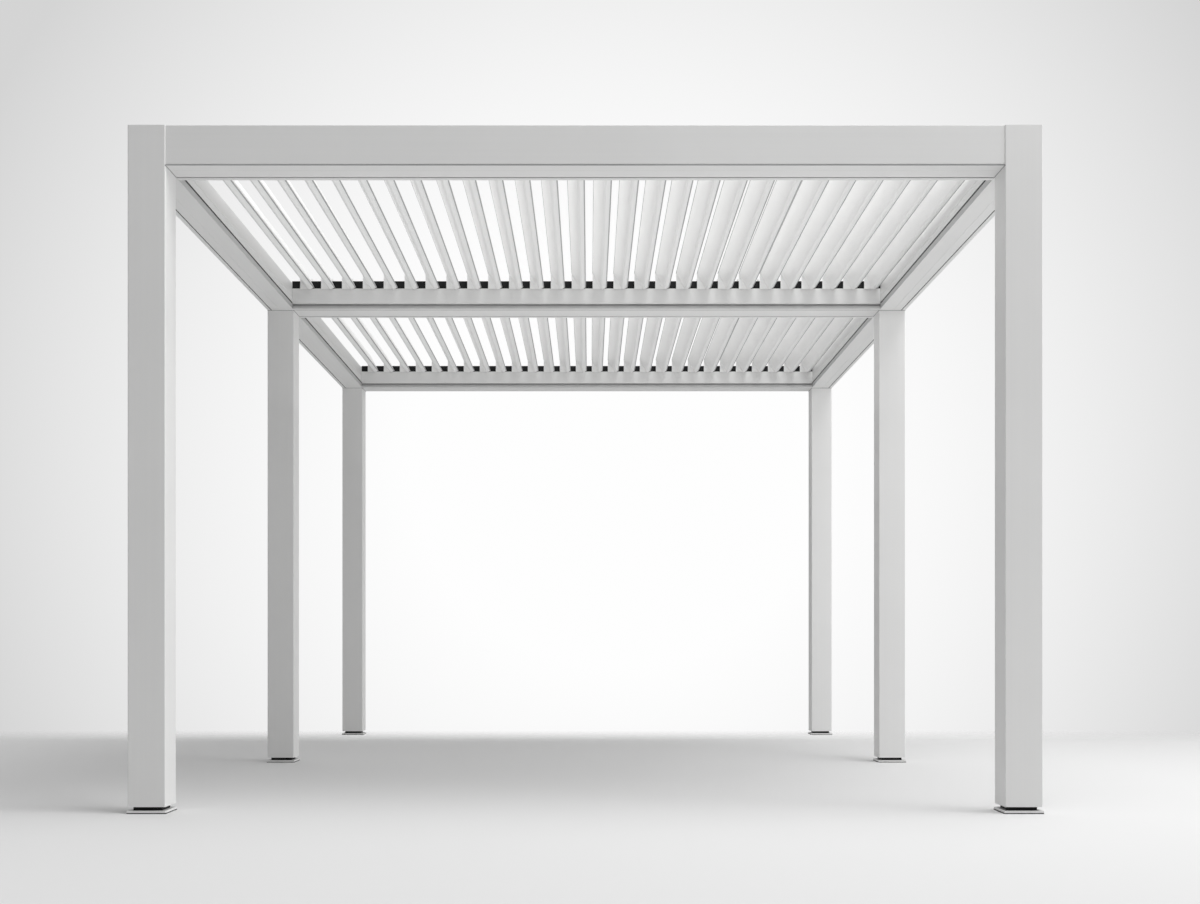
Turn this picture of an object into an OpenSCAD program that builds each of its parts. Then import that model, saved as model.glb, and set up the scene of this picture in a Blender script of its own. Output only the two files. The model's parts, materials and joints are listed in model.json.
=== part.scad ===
// Free-standing pergola with six posts, two bays and a roof of tilting louvres.
// Origin on the ground below the middle of the frame: +X right, +Y away from the front, +Z up.

/* [Frame] */
// Overall width across the outer faces of the posts
frame_w = 3640; // [2800:10:4200]
// Distance between the middles of neighbouring posts along a side
bay_pitch = 2490; // [1800:10:3000]
// Height of the top of the frame above the ground
frame_h = 2740; // [2300:10:3200]
// Side of the square posts, and depth of every beam
post_w = 150; // [130:1:180]
// Radius of the posts' upright edges
post_r = 4; // [1:0.5:8]
// Wall of the posts
post_wall = 4; // [3:0.5:6]
// Thickness of the flat caps on the posts
cap_t = 3; // [2:0.5:6]

/* [Feet] */
// Side of the square base plates
plate_w = 155; // [150:1:200]
// Thickness of the base plates
plate_t = 12; // [6:1:16]
// Height of the shadow gap between base plate and post
neck_h = 15; // [6:1:30]
// Distance of the neck in the gap from the faces of the post
neck_inset = 18; // [12:1:40]
// Height of the sleeve inside the post
sleeve_h = 180; // [100:5:300]
// Wall of the sleeve and its neck
sleeve_wall = 6; // [4:0.5:10]
// Clearance between the sleeve and the inside of the post
sleeve_gap = 0.2; // [0.1:0.05:0.5]
// Radius of the anchor holes in the base plates
anchor_r = 7; // [5:0.5:9]
// Distance between neighbouring anchor holes
anchor_pitch = 60; // [40:1:70]

/* [Beams] */
// Height of the beams
beam_h = 160; // [150:1:220]
// Width of the closed outer box of the edge beams
box_w = 70; // [50:1:85]
// Width of the closed spine of the middle beam
spine_w = 40; // [24:1:60]
// Wall of the beams
beam_wall = 3; // [2:0.5:5]
// Height of the shadow line along the lower outer edge of the front and rear beams
shadow_h = 6; // [3:0.5:10]
// Depth of that shadow line
shadow_d = 5; // [2:0.5:8]
// Distance that the front and rear beams stand back from the faces of the posts
end_set = 4; // [0:0.5:8]
// Distance from a side beam's outer face to the slot in its underside
slot_in = 20; // [14:1:26]
// Width of the slot in the underside
slot_w = 5; // [2:0.5:8]
// Depth of the slot in the underside
slot_d = 8; // [4:1:16]
// Thickness of the web on each side of the slot
slot_web = 3; // [2:0.5:5]

/* [Gutters] */
// Wall of the gutters
gutter_wall = 3; // [2:0.5:4]
// Height of the cross gutters' inner edge above the underside of the beams
gutter_h = 115; // [110:1:124]
// Height of the side gutters' inner edge above the underside of the beams
side_gutter_h = 156; // [120:1:158]
// Height of the plain lip at the foot of the side gutters
side_lip_h = 28; // [16:1:32]
// Height of the shadow groove above that lip
side_groove_h = 10; // [5:1:16]
// Height of the plain lip at the foot of the cross gutters
cross_lip_h = 14; // [10:1:24]
// Height of the shadow groove above that lip
cross_groove_h = 14; // [8:1:24]
// Depth of the shadow grooves
groove_d = 14; // [6:1:18]
// Distance that the cross gutters stand in past the posts
lip_reach = 40; // [30:1:50]
// Width of the seam in the underside where that lip begins
seam_w = 12; // [4:0.5:14]
// Depth of that seam
seam_d = 11; // [4:0.5:12]
// Height of the fine line along the face of the side gutters
line_z = 68; // [60:1:100]
// Width of the fine line
line_w = 4; // [2:0.5:6]
// Depth of the fine line
line_d = 2; // [1:0.25:2.5]
// Distance that the side gutters' face leans back above the fine line
lean = 10; // [4:0.5:14]
// Width of the flange along the inner edge of the cross gutters
flange_w = 14; // [12:1:20]

/* [Pivot rails] */
// Height of the rails that carry the louvre pins
rail_h = 41; // [36:1:44]
// Radius of the louvre pins
pin_r = 6; // [4:0.5:8]
// Radial clearance of the pins in the rails
pin_gap = 0.05; // [0.02:0.01:0.1]
// Length of a pin inside its rail
pin_seat = 11; // [6:0.5:11]

/* [Louvres] */
// Number of louvres across each bay
louvre_count = 28; // [20:1:30]
// Height of the louvre axes above the underside of the beams
pivot_h = 142; // [138:1:146]
// Tilt of the louvres from level, with the tail edge raised to the left
tilt = 62; // [12:1:130]
// Overlap of neighbouring louvres when closed
lap = 5; // [4:1:12]
// Distance from the axis to the nose edge
nose_reach = 31; // [28:1:40]
// Gap between the outermost louvres and the side beams
side_gap = 8; // [7:1:14]
// Gap between a louvre's end and its pivot rail
end_gap = 6; // [5:1:10]
// Thickness of the lip along the tail edge
tail_t = 7; // [4:1:10]
// Width of that lip
tail_step = 16; // [14:1:24]
// Height of the louvre's upper face above the axis
crown = 12; // [10:1:14]
// Depth of the louvre's belly below the axis
belly = 22; // [14:1:24]
// Width of the rain trough behind the nose
trough_w = 13; // [8:1:15]
// Thickness of the trough's floor and of the nose lip
lip_t = 4; // [2:0.5:6]
// Width of the slanted edge under the nose
nose_cut = 7; // [3:0.5:10]

/* [Hidden] */
$fn = 48;
cut = 1;
depth = 2 * bay_pitch + post_w;
inner_w = frame_w - 2 * post_w;
bay_clear = bay_pitch - post_w;
louvre_clear = bay_clear - 2 * lip_reach;
underside = frame_h - beam_h;
post_x = (frame_w - post_w) / 2;
post_bottom = plate_t + neck_h;
post_bore = post_w - 2 * post_wall;
sleeve_w = post_bore - 2 * sleeve_gap;
neck_w = post_w - 2 * neck_inset;
edge_gutter_w = post_w - box_w;
middle_gutter_w = (post_w - spine_w) / 2;
louvre_pitch = (inner_w - lap - 2 * side_gap) / louvre_count;
tail_reach = louvre_pitch + lap - nose_reach;
louvre_len = louvre_clear - 2 * end_gap;
first_axis_x = side_gap + tail_reach - inner_w / 2;
LOUVRES = [for (i = [1 : louvre_count]) str("louvre_", i < 10 ? "0" : "", i)];

// Children drawn across and up become a bar along X, centred on X = 0.
module bar_along_x(length) {
    translate([-length / 2, 0, 0])
        rotate([90, 0, 90])
            linear_extrude(length)
                children();
}

// Children drawn across and up become a bar along Y, centred on Y = 0.
module bar_along_y(length) {
    translate([0, length / 2, 0])
        rotate([90, 0, 0])
            linear_extrude(length)
                children();
}

// Children at each of the six places where a post stands.
module at_posts() {
    for (x = [-post_x, post_x], y = [-bay_pitch, 0, bay_pitch])
        translate([x, y, 0])
            children();
}

// Square upright with its middle on the Z axis.
module upright(width, low, high) {
    translate([-width / 2, -width / 2, low])
        cube([width, width, high - low]);
}

// Upright of the posts' width with rounded edges.
module rounded_upright(low, high) {
    side = post_w - 2 * post_r;
    translate([0, 0, low])
        linear_extrude(high - low) {
            square([post_w, side], center = true);
            square([side, post_w], center = true);
            for (x = [-side / 2, side / 2], y = [-side / 2, side / 2])
                translate([x, y])
                    circle(r = post_r);
        }
}

module post(x, y) {
    color("gainsboro")
        translate([x, y, 0])
            difference() {
                rounded_upright(post_bottom, frame_h - cap_t);
                upright(post_bore, post_bottom - cut, frame_h - cap_t + cut);
            }
}

module post_caps() {
    color("gainsboro")
        at_posts()
            rounded_upright(frame_h - cap_t, frame_h);
}

// Neck in the shadow gap, and above it the sleeve that the post slides over.
module post_sleeves() {
    bore = neck_w - 2 * sleeve_wall;
    color("dimgray")
        at_posts()
            difference() {
                union() {
                    upright(neck_w, plate_t, post_bottom);
                    upright(sleeve_w, post_bottom, post_bottom + sleeve_h);
                }
                upright(bore, plate_t - cut, post_bottom + sleeve_h + cut);
            }
}

module base_plates() {
    color("gainsboro")
        at_posts()
            difference() {
                upright(plate_w, 0, plate_t);
                for (x = [-1, 1], y = [-1, 1])
                    translate([x * anchor_pitch / 2, y * anchor_pitch / 2, -cut])
                        cylinder(r = anchor_r, h = plate_t + 2 * cut);
            }
}

// Section of a side beam: a closed box with a web that holds the slot in the underside.
module side_box_section() {
    web_in = slot_in - slot_web;
    web_out = slot_in + slot_w + slot_web;
    difference() {
        square([box_w, beam_h]);
        translate([beam_wall, beam_wall])
            square([web_in - beam_wall, beam_h - 2 * beam_wall]);
        translate([web_out, beam_wall])
            square([box_w - beam_wall - web_out, beam_h - 2 * beam_wall]);
        translate([slot_in, -cut])
            square([slot_w, slot_d + cut]);
    }
}

// Section of a front or rear beam: a closed box with a shadow line along its lower outer edge.
module end_box_section() {
    floor_z = shadow_h + beam_wall;
    width = box_w - end_set;
    translate([end_set, 0])
        difference() {
            square([width, beam_h]);
            translate([beam_wall, floor_z])
                square([width - 2 * beam_wall, beam_h - beam_wall - floor_z]);
            translate([-cut, -cut])
                square([shadow_d + cut, shadow_h + cut]);
        }
}

// Section of the middle beam's spine.
module spine_section() {
    difference() {
        square([spine_w, beam_h]);
        translate([beam_wall, beam_wall])
            square([spine_w - 2 * beam_wall, beam_h - 2 * beam_wall]);
    }
}

// Section of a side gutter: lip, shadow groove, plain face, fine line, leaning face, open channel.
module side_gutter_section() {
    width = edge_gutter_w;
    floor_z = side_lip_h + side_groove_h;
    back = width - groove_d;
    difference() {
        polygon([
            [0, 0], [width, 0], [width, line_z + line_w],
            [width - lean, side_gutter_h], [0, side_gutter_h]
        ]);
        translate([gutter_wall, floor_z + gutter_wall])
            square([width - 2 * gutter_wall - lean, side_gutter_h]);
        translate([back, side_lip_h])
            square([groove_d + cut, side_groove_h]);
        translate([width - line_d, line_z])
            square([line_d + cut, line_w]);
        translate([gutter_wall, gutter_wall])
            square([back - 2 * gutter_wall, floor_z - gutter_wall]);
    }
}

// Section of a cross gutter: seam, lip past the posts, shadow groove, channel, flange for the rail.
module cross_gutter_section(band) {
    width = band + lip_reach;
    floor_z = cross_lip_h + cross_groove_h;
    difference() {
        square([width, gutter_h]);
        translate([gutter_wall, floor_z + gutter_wall])
            square([width - 2 * gutter_wall, gutter_h - floor_z - 2 * gutter_wall]);
        translate([gutter_wall, floor_z + gutter_wall])
            square([width - gutter_wall - flange_w, gutter_h]);
        translate([width - groove_d, cross_lip_h])
            square([groove_d + cut, cross_groove_h]);
        translate([band, -cut])
            square([seam_w, seam_d + cut]);
        translate([gutter_wall, gutter_wall])
            square([band - 2 * gutter_wall, floor_z - gutter_wall]);
    }
}

// Places a bar along X with its outer face on the front (side -1) or rear (side 1) of the frame.
module on_end(side) {
    mirror([0, side > 0 ? 1 : 0, 0])
        translate([0, -depth / 2, underside])
            bar_along_x(inner_w)
                children();
}

// Places a bar along Y with its outer face on the left (side -1) or right (side 1) of the frame.
module on_side(side, y) {
    mirror([side > 0 ? 1 : 0, 0, 0])
        translate([-frame_w / 2, y, underside])
            bar_along_y(bay_clear)
                children();
}

module end_beam(side) {
    color("gainsboro")
        on_end(side)
            end_box_section();
}

module side_beam(side, y) {
    color("gainsboro")
        on_side(side, y)
            side_box_section();
}

module middle_beam() {
    color("gainsboro")
        translate([0, -spine_w / 2, underside])
            bar_along_x(inner_w)
                spine_section();
}

module end_gutter(side) {
    color("whitesmoke")
        on_end(side)
            translate([box_w, 0])
                cross_gutter_section(edge_gutter_w);
}

module side_gutters(side) {
    color("whitesmoke")
        for (y = [-bay_pitch / 2, bay_pitch / 2])
            on_side(side, y)
                translate([box_w, 0])
                    side_gutter_section();
}

module middle_gutters() {
    color("whitesmoke")
        for (side = [0, 1])
            mirror([0, side, 0])
                translate([0, spine_w / 2, underside])
                    bar_along_x(inner_w)
                        cross_gutter_section(middle_gutter_w);
}

// Two black rails on the gutter flanges of one bay, with a bore for every louvre pin.
module pivot_rails(y) {
    color("#1c1c1e")
        for (side = [-1, 1]) {
            face_y = y + side * louvre_clear / 2;
            difference() {
                translate([-inner_w / 2, side < 0 ? face_y - flange_w : face_y, underside + gutter_h])
                    cube([inner_w, flange_w, rail_h]);
                for (i = [0 : louvre_count - 1])
                    translate([axis_x(i), face_y, underside + pivot_h])
                        rotate([90, 0, 0])
                            cylinder(r = pin_r + pin_gap, h = 2 * (flange_w + cut), center = true);
            }
        }
}

// Place of a louvre's axis across the frame.
function axis_x(i) = first_axis_x + i * louvre_pitch;

// Section of a louvre lying level, with its axis at the origin, tail to the left and nose to the right.
module louvre_section() {
    step_in = tail_step - tail_reach;
    trough_in = nose_reach - lip_t - trough_w;
    trough_out = nose_reach - lip_t;
    polygon([
        [-tail_reach, crown - tail_t], [-tail_reach, crown],
        [trough_in, crown], [trough_in, lip_t - belly], [trough_out, lip_t - belly],
        [trough_out, crown], [nose_reach, crown], [nose_reach, nose_cut - belly],
        [nose_reach - nose_cut, -belly], [step_in, -belly], [step_in, crown - tail_t]
    ]);
}

// One blade with a pin at each end.
module blade(y) {
    translate([0, y, 0]) {
        bar_along_y(louvre_len)
            louvre_section();
        bar_along_y(louvre_clear + 2 * pin_seat)
            circle(r = pin_r);
    }
}

// The front-bay and rear-bay blades that turn on one axis.
module louvre(i) {
    color("whitesmoke")
        translate([axis_x(i), 0, underside + pivot_h])
            rotate([0, tilt, 0]) {
                blade(-bay_pitch / 2);
                blade(bay_pitch / 2);
            }
}

post(-post_x, -bay_pitch);  // front_left_post
post(post_x, -bay_pitch);  // front_right_post
post(-post_x, 0);  // middle_left_post
post(post_x, 0);  // middle_right_post
post(-post_x, bay_pitch);  // rear_left_post
post(post_x, bay_pitch);  // rear_right_post
post_caps();
post_sleeves();
base_plates();
end_beam(-1);  // front_beam
middle_beam();
end_beam(1);  // rear_beam
side_beam(-1, -bay_pitch / 2);  // left_front_beam
side_beam(-1, bay_pitch / 2);  // left_rear_beam
side_beam(1, -bay_pitch / 2);  // right_front_beam
side_beam(1, bay_pitch / 2);  // right_rear_beam
side_gutters(-1);  // left_gutters
side_gutters(1);  // right_gutters
end_gutter(-1);  // front_gutter
middle_gutters();
end_gutter(1);  // rear_gutter
pivot_rails(-bay_pitch / 2);  // front_bay_pivot_rails
pivot_rails(bay_pitch / 2);  // rear_bay_pivot_rails
for (i = [0 : louvre_count - 1])
    louvre(i);
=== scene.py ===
"""Dresses the louvred pergola: finishes, seals, bushes, end plates and a plain studio stage."""

import json
import math

import bmesh
import bpy
import numpy as np
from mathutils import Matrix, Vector


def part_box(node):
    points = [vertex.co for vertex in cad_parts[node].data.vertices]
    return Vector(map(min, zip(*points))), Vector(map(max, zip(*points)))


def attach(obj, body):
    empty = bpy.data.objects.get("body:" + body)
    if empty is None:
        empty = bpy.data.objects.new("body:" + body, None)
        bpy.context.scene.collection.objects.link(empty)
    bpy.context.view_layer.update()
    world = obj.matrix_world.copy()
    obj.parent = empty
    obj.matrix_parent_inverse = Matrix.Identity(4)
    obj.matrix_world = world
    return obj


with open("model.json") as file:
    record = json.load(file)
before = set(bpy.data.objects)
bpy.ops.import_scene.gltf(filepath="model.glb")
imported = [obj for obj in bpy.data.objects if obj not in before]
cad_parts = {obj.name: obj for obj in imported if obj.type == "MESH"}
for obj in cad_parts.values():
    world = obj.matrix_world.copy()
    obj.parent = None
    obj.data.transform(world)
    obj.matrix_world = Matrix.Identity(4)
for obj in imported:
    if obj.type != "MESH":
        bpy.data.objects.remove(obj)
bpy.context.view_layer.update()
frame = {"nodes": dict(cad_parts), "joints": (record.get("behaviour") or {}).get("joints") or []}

bl_info = {
    "name": "Louvred pergola",
    "version": (1, 0, 0),
    "blender": (4, 5, 0),
    "location": "View3D > Sidebar > Pergola",
    "description": "Finishes, seals, bushes, end plates and studio stage of a pergola with a louvred roof",
    "category": "Object",
}

NODES = frame["nodes"]
LOUVRES = sorted(name for name in NODES if name.startswith("louvre_"))
POSTS = sorted(name for name in NODES if name.endswith("_post"))
CROSS_BEAMS = ["front_beam", "middle_beam", "rear_beam"]
SIDE_BEAMS = ["left_front_beam", "left_rear_beam", "right_front_beam", "right_rear_beam"]
CROSS_GUTTERS = ["front_gutter", "middle_gutters", "rear_gutter"]
SIDE_GUTTERS = ["left_gutters", "right_gutters"]
RAILS = ["front_bay_pivot_rails", "rear_bay_pivot_rails"]
AXES = {joint["child"]: np.array(joint["pos_m"]) for joint in frame["joints"]}
FRAME_BODY = "frame"

# Scales of the draw lines on bars along X, on bars along Y, on uprights and on small plates.
ALONG_X = (0.5, 60.0, 60.0)
ALONG_Y = (60.0, 0.5, 60.0)
UPRIGHT = (60.0, 60.0, 0.5)
SMALL_PLATE = (9.0, 9.0, 9.0)

# Widths of the rounded edges in metres.
BEAM_EDGE = 0.0015
GUTTER_EDGE = 0.0012
LOUVRE_EDGE = 0.001

# Grain and roughness of rubber.
RUBBER = (500.0, 0.6)

# Size, place and target of each light panel in metres.
KEY_PANEL = {"size": (7.0, 5.0), "place": (8.5, -3.0, 3.2), "target": (0.0, 0.0, 1.4)}
TOP_PANEL = {"size": (5.0, 5.0), "place": (2.1, -3.4, 8.0), "target": (0.0, 0.0, 0.0)}
LOW_PANEL = {"size": (3.2, 4.8), "place": (0.0, 0.0, 2.0), "target": (0.0, 0.0, 2.6)}

# Direction of the brightest point of the backdrop, and how far from it the rim starts and ends.
BACKDROP_MIDDLE = (0.02, 0.992, 0.126)
BACKDROP_RANGE = (0.90, 0.99)


# Sizes and colours that a user would change.

class PergolaSizes(bpy.types.PropertyGroup):
    """Sizes of the sections that the added pieces sit in, and of those pieces."""
    tilt: bpy.props.FloatProperty(
        name="Louvre tilt", description="Tilt of the louvres from level at rest",
        default=math.radians(62), subtype="ANGLE")
    tail_reach: bpy.props.FloatProperty(
        name="Tail reach", description="Distance from a louvre's axis to its tail edge",
        default=0.092536, unit="LENGTH", precision=4)
    nose_reach: bpy.props.FloatProperty(
        name="Nose reach", description="Distance from a louvre's axis to its nose edge",
        default=0.031, unit="LENGTH", precision=4)
    tail_t: bpy.props.FloatProperty(
        name="Tail lip thickness", description="Thickness of the lip along a louvre's tail edge",
        default=0.007, unit="LENGTH", precision=4)
    tail_step: bpy.props.FloatProperty(
        name="Tail lip width", description="Width of the lip along a louvre's tail edge",
        default=0.016, unit="LENGTH", precision=4)
    crown: bpy.props.FloatProperty(
        name="Crown", description="Height of a louvre's upper face above its axis",
        default=0.012, unit="LENGTH", precision=4)
    belly: bpy.props.FloatProperty(
        name="Belly", description="Depth of a louvre below its axis",
        default=0.022, unit="LENGTH", precision=4)
    nose_cut: bpy.props.FloatProperty(
        name="Nose cut", description="Width of the slanted edge under a louvre's nose",
        default=0.007, unit="LENGTH", precision=4)
    end_gap: bpy.props.FloatProperty(
        name="End gap", description="Gap between a louvre's end and its pivot rail",
        default=0.006, unit="LENGTH", precision=4)
    pin_r: bpy.props.FloatProperty(
        name="Pin radius", description="Radius of the louvre pins",
        default=0.006, unit="LENGTH", precision=4)
    pin_seat: bpy.props.FloatProperty(
        name="Pin seat", description="Length of a pin inside its rail",
        default=0.011, unit="LENGTH", precision=4)
    cross_lip_h: bpy.props.FloatProperty(
        name="Cross lip", description="Height of the lip at the foot of the cross gutters",
        default=0.014, unit="LENGTH", precision=4)
    cross_groove_h: bpy.props.FloatProperty(
        name="Cross groove", description="Height of the shadow groove of the cross gutters",
        default=0.014, unit="LENGTH", precision=4)
    side_lip_h: bpy.props.FloatProperty(
        name="Side lip", description="Height of the lip at the foot of the side gutters",
        default=0.028, unit="LENGTH", precision=4)
    side_groove_h: bpy.props.FloatProperty(
        name="Side groove", description="Height of the shadow groove of the side gutters",
        default=0.010, unit="LENGTH", precision=4)
    groove_d: bpy.props.FloatProperty(
        name="Groove depth", description="Depth of the shadow grooves",
        default=0.014, unit="LENGTH", precision=4)
    lip_reach: bpy.props.FloatProperty(
        name="Lip reach", description="Distance that the cross gutters stand in past the posts",
        default=0.040, unit="LENGTH", precision=4)
    seam_w: bpy.props.FloatProperty(
        name="Seam width", description="Width of the seam in the underside of the cross beams",
        default=0.012, unit="LENGTH", precision=4)
    seam_d: bpy.props.FloatProperty(
        name="Seam depth", description="Depth of the seam in the underside of the cross beams",
        default=0.011, unit="LENGTH", precision=4)
    seal_t: bpy.props.FloatProperty(
        name="Seal thickness", description="Thickness of the rubber strips in the seams and cross grooves",
        default=0.004, unit="LENGTH", precision=4)
    side_seal_in: bpy.props.FloatProperty(
        name="Side seal inset", description="Distance of the side groove seals behind the gutter's face",
        default=0.002, unit="LENGTH", precision=4)
    slot_in: bpy.props.FloatProperty(
        name="Slot inset", description="Distance from a side beam's outer face to the slot in its underside",
        default=0.020, unit="LENGTH", precision=4)
    slot_w: bpy.props.FloatProperty(
        name="Slot width", description="Width of the slot in the underside of the side beams",
        default=0.005, unit="LENGTH", precision=4)
    shadow_h: bpy.props.FloatProperty(
        name="Shadow line height", description="Height of the shadow line of the front and rear beams",
        default=0.006, unit="LENGTH", precision=4)
    shadow_d: bpy.props.FloatProperty(
        name="Shadow line depth", description="Depth of the shadow line of the front and rear beams",
        default=0.005, unit="LENGTH", precision=4)
    rim_h: bpy.props.FloatProperty(
        name="Plate rim height", description="Height of the rubber rims at the foot of the base plates",
        default=0.0035, unit="LENGTH", precision=4)
    rim_out: bpy.props.FloatProperty(
        name="Plate rim", description="Distance that the rubber rims stand out from the base plates",
        default=0.0008, unit="LENGTH", precision=4)
    bead_r: bpy.props.FloatProperty(
        name="Bead radius", description="Radius of the joint beads between beams and posts",
        default=0.0022, unit="LENGTH", precision=4)
    edge_r: bpy.props.FloatProperty(
        name="Edge seal radius", description="Radius of the seals along the louvres' lower tail corners",
        default=0.0024, unit="LENGTH", precision=4)
    strip_h: bpy.props.FloatProperty(
        name="Nose strip height", description="Height of the seal strips along the louvre noses",
        default=0.006, unit="LENGTH", precision=4)
    strip_t: bpy.props.FloatProperty(
        name="Nose strip thickness", description="Thickness of the seal strips along the louvre noses",
        default=0.0012, unit="LENGTH", precision=4)
    plate_t: bpy.props.FloatProperty(
        name="End plate", description="Height of the louvre end plates above the blade end",
        default=0.001, unit="LENGTH", precision=4)
    cheek_in: bpy.props.FloatProperty(
        name="Cheek corner", description="Distance of the lowest corner of an end plate towards the nose",
        default=0.002, unit="LENGTH", precision=4)
    cheek_drop: bpy.props.FloatProperty(
        name="Cheek drop", description="Distance of the lowest corner of an end plate below the axis",
        default=0.0635, unit="LENGTH", precision=4)
    bush_r: bpy.props.FloatProperty(
        name="Bush radius", description="Radius of the flanges of the pin bushes",
        default=0.011, unit="LENGTH", precision=4)
    bush_t: bpy.props.FloatProperty(
        name="Bush thickness", description="Thickness of the flanges of the pin bushes",
        default=0.0025, unit="LENGTH", precision=4)


class PergolaColours(bpy.types.PropertyGroup):
    """Colours of the finishes."""
    frame_white: bpy.props.FloatVectorProperty(
        name="Frame white", description="Powder coat of posts and beams",
        default=(0.80, 0.80, 0.795), subtype="COLOR", min=0.0, max=1.0)
    louvre_white: bpy.props.FloatVectorProperty(
        name="Louvre white", description="Powder coat of the louvres",
        default=(0.93, 0.93, 0.925), subtype="COLOR", min=0.0, max=1.0)
    # Painted light: the end plates' white is set lighter than the louvre coat, so that the plates, which
    # face the front, look as bright as the lit blade undersides.
    cheek_lit_white: bpy.props.FloatVectorProperty(
        name="Cheek white", description="Powder coat of the louvre end plates",
        default=(0.97, 0.97, 0.965), subtype="COLOR", min=0.0, max=1.0)
    # Painted shade: this grey band on the gutter lips stands in for the shade on the recessed lip below the
    # shadow groove; it is not a bare lip.
    lip_shade_grey: bpy.props.FloatVectorProperty(
        name="Lip grey", description="Bare lip below the shadow groove",
        default=(0.50, 0.50, 0.50), subtype="COLOR", min=0.0, max=1.0)
    rail_black: bpy.props.FloatVectorProperty(
        name="Rail black", description="Moulded plastic of the pivot rails",
        default=(0.012, 0.012, 0.013), subtype="COLOR", min=0.0, max=1.0)
    # Painted shade: this near-black on the post sleeves stands in for the shade in the gap under each post,
    # and on the plate rims for the contact shadow where the plates meet the floor.
    sleeve_dark: bpy.props.FloatVectorProperty(
        name="Sleeve dark", description="Coated steel of the post sleeves",
        default=(0.02, 0.02, 0.021), subtype="COLOR", min=0.0, max=1.0)
    # Painted shade: this near-black on the strips in the side gutter grooves and in the side beam slots
    # stands in for the shade inside them.
    groove_shade_dark: bpy.props.FloatVectorProperty(
        name="Seal dark", description="Rubber in the grooves of the side gutters",
        default=(0.05, 0.05, 0.051), subtype="COLOR", min=0.0, max=1.0)
    # Partly painted shade: this grey on the strips in the cross gutter grooves and underside seams stands in
    # for the shade inside them; on the joint beads it is their own colour.
    seal_grey_and_groove_shade: bpy.props.FloatVectorProperty(
        name="Seal grey", description="Rubber in the grooves and seams of the cross gutters",
        default=(0.36, 0.36, 0.362), subtype="COLOR", min=0.0, max=1.0)
    # Painted shade: this grey on the strips and beads along the louvre edges and in the shadow lines of the
    # front and rear beams stands in for the thin shade lines there.
    edge_shade_grey: bpy.props.FloatVectorProperty(
        name="Edge grey", description="Soft seals along the louvre edges",
        default=(0.45, 0.45, 0.455), subtype="COLOR", min=0.0, max=1.0)
    dust: bpy.props.FloatVectorProperty(
        name="Dust", description="Dust on faces that look up",
        default=(0.62, 0.60, 0.56), subtype="COLOR", min=0.0, max=1.0)


class PergolaStage(bpy.types.PropertyGroup):
    """Camera, lights, floor and backdrop."""
    eye: bpy.props.FloatVectorProperty(
        name="Eye", description="Place of the camera", default=(0.016, -8.2853, 0.6753),
        subtype="TRANSLATION")
    focal_px: bpy.props.FloatProperty(
        name="Focal length", description="Focal length in pixels of the picture", default=1438.7)
    eye_px: bpy.props.FloatVectorProperty(
        name="Eye point", description="Pixel that lies straight ahead of the camera",
        default=(589.23, 644.08), size=2)
    picture_px: bpy.props.FloatVectorProperty(
        name="Picture", description="Width and height of the picture in pixels",
        default=(1200.0, 904.0), size=2)
    sensor_mm: bpy.props.FloatProperty(
        name="Sensor", description="Width of the camera's sensor in millimetres", default=36.0)
    floor_white: bpy.props.FloatVectorProperty(
        name="Floor", description="Colour of the floor", default=(0.75, 0.75, 0.75),
        subtype="COLOR", min=0.0, max=1.0)
    floor_r: bpy.props.FloatProperty(
        name="Floor radius", description="Radius of the floor disc", default=60.0, unit="LENGTH")
    fade_from: bpy.props.FloatProperty(
        name="Fade from", description="Distance behind the middle where the floor starts to fade",
        default=1.5, unit="LENGTH")
    fade_to: bpy.props.FloatProperty(
        name="Fade to", description="Distance behind the middle where the floor has faded into the backdrop",
        default=3.1, unit="LENGTH")
    backdrop: bpy.props.FloatProperty(
        name="Backdrop", description="Brightness in the middle of the backdrop", default=0.99)
    backdrop_rim: bpy.props.FloatProperty(
        name="Backdrop rim", description="Brightness of the backdrop away from its middle",
        default=0.66)
    from_all: bpy.props.FloatProperty(
        name="Light from all round", description="Even light from all directions", default=0.054)
    from_right: bpy.props.FloatProperty(
        name="Light from the right", description="Further soft light from the right", default=0.588)
    from_rear: bpy.props.FloatProperty(
        name="Light from the rear", description="Further soft light from the rear", default=0.384)
    from_above: bpy.props.FloatProperty(
        name="Light from above", description="Further soft light from above", default=0.476)
    key_power: bpy.props.FloatProperty(
        name="Key power", description="Power of the panel on the right in watts", default=212.0)
    top_power: bpy.props.FloatProperty(
        name="Top power", description="Power of the panel overhead in watts", default=361.0)
    low_power: bpy.props.FloatProperty(
        name="Low power", description="Power of the panel below the roof in watts",
        default=7.5)


# Surfaces worked out as whole arrays.

def ring_faces(rows, points):
    """Quads between neighbouring rows of a grid whose rows are closed rings of points."""
    row, column = np.meshgrid(np.arange(rows - 1), np.arange(points), indexing="ij")
    after = (column + 1) % points
    corners = (row * points + column, row * points + after,
               (row + 1) * points + after, (row + 1) * points + column)
    return np.stack([c.ravel() for c in corners], axis=1)


def carried(profile, start, end, across, up):
    """A closed profile carried in a straight line: point(s, t) = start + s (end - start) + profile(t),
    where profile(t) lies in the plane of across and up. Both ends are closed by the profile itself."""
    start, end, across, up = (np.array(v, float) for v in (start, end, across, up))
    ring = profile[:, :1] * across + profile[:, 1:] * up
    points = np.concatenate([start + ring, end + ring])
    count = len(profile)
    faces = ring_faces(2, count).tolist()
    caps = [list(range(count - 1, -1, -1)), list(range(count, 2 * count))]
    return points, faces + caps


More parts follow.
